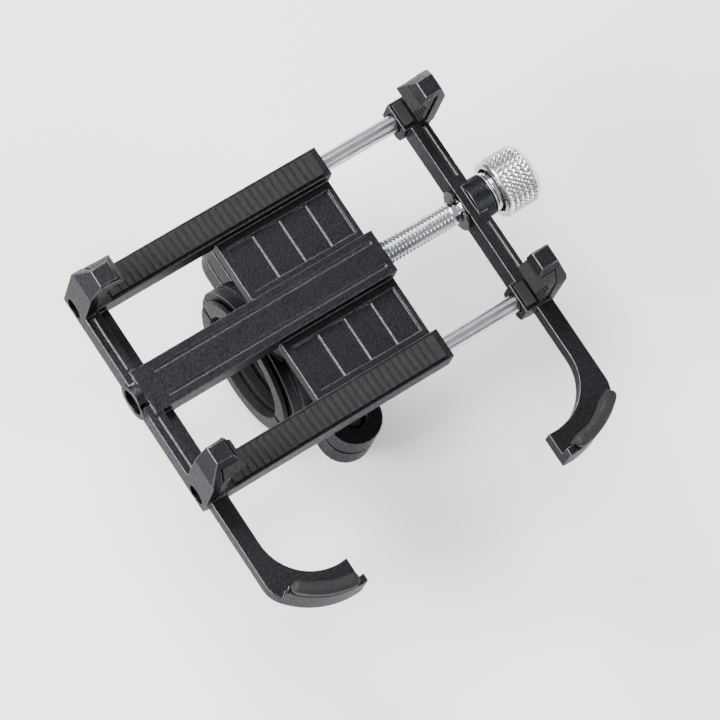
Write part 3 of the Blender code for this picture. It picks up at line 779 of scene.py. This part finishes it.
def ring_cutter(name, places, radii, half):
    """Square rings around the clamp's bore, at places along it."""
    bm = bmesh.new()
    inner, outer = radii
    for x in places:
        section = [(inner, x - half), (outer, x - half), (outer, x + half), (inner, x + half)]
        lathe(bm, section, sides=GROOVE_SIDES)
    return to_object(name, bm)


def clamp_rings():
    """Shallow machined lines around the clamp, near both of its faces."""
    return ring_cutter("clamp_cutter", CLAMP_LINE_X, CLAMP_LINE_RADII, CLAMP_LINE_HALF_WIDTH)


def liner_rings():
    """The grooves inside the rubber liner, which grip the bar."""
    return ring_cutter("liner_cutter", LINER_GROOVE_X, LINER_GROOVE_RADII, LINER_GROOVE_HALF_WIDTH)


def bolt_head_radius(radius, foot, head):
    """The radius of a knurled bolt head between two heights, at each height and angle."""

    def radius_at(height, angle):
        inside = min(1.0, (height - foot) / BOLT_HEAD_EDGE, (head - height) / BOLT_HEAD_EDGE)
        turns = BOLT_KNURL_COUNT * angle / (2 * math.pi)
        cut = BOLT_KNURL_DEPTH * (1 - wave(turns)) * (inside > 0.9)
        return radius - cut - BOLT_HEAD_INSET * (1 - inside)

    return radius_at


def make_bolt(end):
    """A clamp bolt: a socket head with straight knurling and a threaded shank."""
    node = f"clamp_bolt_{end}"
    low, high = box_of(node)
    y = (low.y + high.y) / 2
    matrix = turn_matrix("Z", (0, y, 0))
    bm = bmesh.new()
    foot, head = low.z, low.z + BOLT_HEAD_HEIGHT
    radius_at = bolt_head_radius((high.y - low.y) / 2, foot, head)
    levels = [foot + rise for rise in BOLT_HEAD_LEVELS] + [head - rise for rise in BOLT_HEAD_LEVELS[::-1]]
    capped(bm, grid_rings(bm, radius_at, levels, BOLT_HEAD_SIDES, matrix))
    span = (head - BOLT_SHANK_OVERLAP, high.z)
    thread(bm, BOLT_RADIUS, BOLT_THREAD_DEPTH, BOLT_PITCH, span, matrix)
    thing = to_object(f"{node}_threaded", bm)
    socket = bmesh.new()
    depths = (foot - PAST, foot + BOLT_SOCKET_DEPTH)
    cone(socket, (0, y, 0), (BOLT_SOCKET_RADIUS, BOLT_SOCKET_RADIUS), depths, 6)
    carve(thing, to_object("socket_cutter", socket))
    settle(thing, "handlebar_clamp", "black_steel", node)


def make_clamp():
    """The handlebar clamp: two halves, their liners, bolts and washers."""
    body, black = "handlebar_clamp", "anodised_black"
    detailed("clamp_saddle", "machined", body, black, CLAMP_EDGE, clamp_rings(), cuts=SADDLE_CUTS)
    detailed("clamp_cap", "machined", body, black, CLAMP_EDGE, clamp_rings())
    for half in ("upper", "lower"):
        liner = f"clamp_liner_{half}"
        detailed(liner, "grooved", body, "rubber_black", LINER_EDGE, liner_rings(), FINE_SEGMENTS)
    for end in ("front", "rear"):
        make_bolt(end)
        detailed(f"clamp_washer_{end}", "plated", body, "steel", WASHER_EDGE)
    detailed("swivel_friction_washer", "moulded", body, "nylon", THIN_EDGE)


# Studio


def aim(thing, target):
    """Points a light or camera along its own -Z at a target."""
    back = (thing.location - target).normalized()
    thing.rotation_euler = back.to_track_quat("Z", "Y").to_euler()


def make_light(target, name, place, size, power, color):
    """A soft square light of a size and power, aimed at a target."""
    light = bpy.data.lights.new(name, "AREA")
    light.shape = "SQUARE"
    light.size = size
    light.energy = power
    light.color = color
    thing = bpy.data.objects.new(name, light)
    bpy.context.scene.collection.objects.link(thing)
    thing.location = place
    aim(thing, target)


def make_camera(target):
    """The camera, level with the photographed view and aimed at the mount's middle."""
    camera = bpy.data.cameras.new("camera")
    camera.lens = CAMERA_LENS
    camera.sensor_width = CAMERA_SENSOR
    camera.clip_start = CAMERA_CLIP
    thing = bpy.data.objects.new("camera", camera)
    bpy.context.scene.collection.objects.link(thing)
    back = (CAMERA_PLACE - target).normalized()
    right = (CAMERA_RIGHT - back * CAMERA_RIGHT.dot(back)).normalized()
    up = back.cross(right)
    turn = Matrix((right, up, back)).transposed().to_4x4()
    thing.matrix_world = Matrix.Translation(CAMERA_PLACE) @ turn
    bpy.context.scene.camera = thing


def make_floor(height):
    """A plain pale floor under the mount."""
    bm = bmesh.new()
    bmesh.ops.create_grid(bm, x_segments=8, y_segments=8, size=FLOOR_SIZE)
    floor = to_object("floor", bm)
    floor.location.z = height
    material, shader = new_material("floor", (0.86, 0.86, 0.86), 0.75)
    tree = material.node_tree
    tint(tree, shader, ramp(tree, noise(tree, 14, 3), 0.0, 1.0), *FLOOR_COLORS)
    floor.data.materials.append(material)


def make_world():
    """An even pale surround."""
    world = bpy.data.worlds.new("surround")
    world.use_nodes = True
    background = world.node_tree.nodes["Background"]
    background.inputs["Color"].default_value = SURROUND_COLOR
    background.inputs["Strength"].default_value = SURROUND_STRENGTH
    bpy.context.scene.world = world


def make_studio(low, high):
    """Camera, floor, surround and three soft lights around the mount."""
    middle = (low + high) / 2
    make_camera(middle)
    make_floor(low.z)
    make_world()
    for light in LIGHTS:
        make_light(middle, *light)


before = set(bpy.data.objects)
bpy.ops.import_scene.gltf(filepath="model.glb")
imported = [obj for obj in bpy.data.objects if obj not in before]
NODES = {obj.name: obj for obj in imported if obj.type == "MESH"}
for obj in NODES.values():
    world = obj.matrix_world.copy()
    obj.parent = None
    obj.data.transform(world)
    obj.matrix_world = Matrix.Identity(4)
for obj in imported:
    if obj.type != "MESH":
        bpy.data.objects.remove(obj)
LOW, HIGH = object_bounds()
FINISHES = make_materials()
make_cradle()
make_jaw()
make_thumb_screw()
make_clamp()
make_studio(LOW, HIGH)
